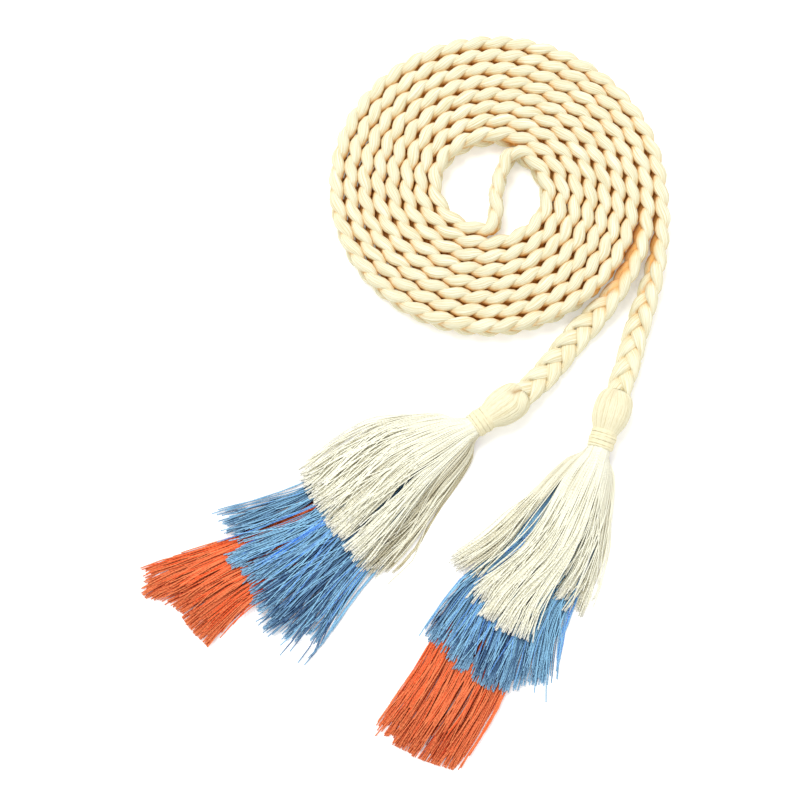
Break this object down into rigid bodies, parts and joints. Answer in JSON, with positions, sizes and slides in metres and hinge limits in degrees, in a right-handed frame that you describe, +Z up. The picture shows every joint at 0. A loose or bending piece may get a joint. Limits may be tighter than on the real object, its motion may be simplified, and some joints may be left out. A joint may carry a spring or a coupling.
{
  "type": "rope belt",
  "caption": "Long flat braided cotton cord belt, coiled in a flat double spiral, with a three-tier thread tassel in cream, blue and orange at each end.",
  "frame": {"origin": "on the table under the braid where it crosses the middle of the coil, half way along the belt", "axes": "+Z up from the table, the coil lies in XY, the tassels lie towards -Y"},
  "size_m": [0.1328, 0.1871, 0.0095],
  "materials": {
    "braid_cotton": "matt braided cotton, warm ivory",
    "cream_thread": "soft cotton thread, cream",
    "binding_thread": "tightly wound cotton thread, cream",
    "blue_thread": "slightly shiny thread, sky blue",
    "orange_thread": "slightly shiny thread, coral orange"
  },
  "bodies": {
    "root": {"braid_coil": "braid_cotton", "braid_tail_left": "braid_cotton", "braid_tail_right": "braid_cotton", "left_tassel_cream": "cream_thread", "left_neck_binding": "binding_thread", "left_blue_threads": "blue_thread", "left_orange_threads": "orange_thread", "right_tassel_cream": "cream_thread", "right_neck_binding": "binding_thread", "right_blue_threads": "blue_thread", "right_orange_threads": "orange_thread"}
  },
  "joints": []
}
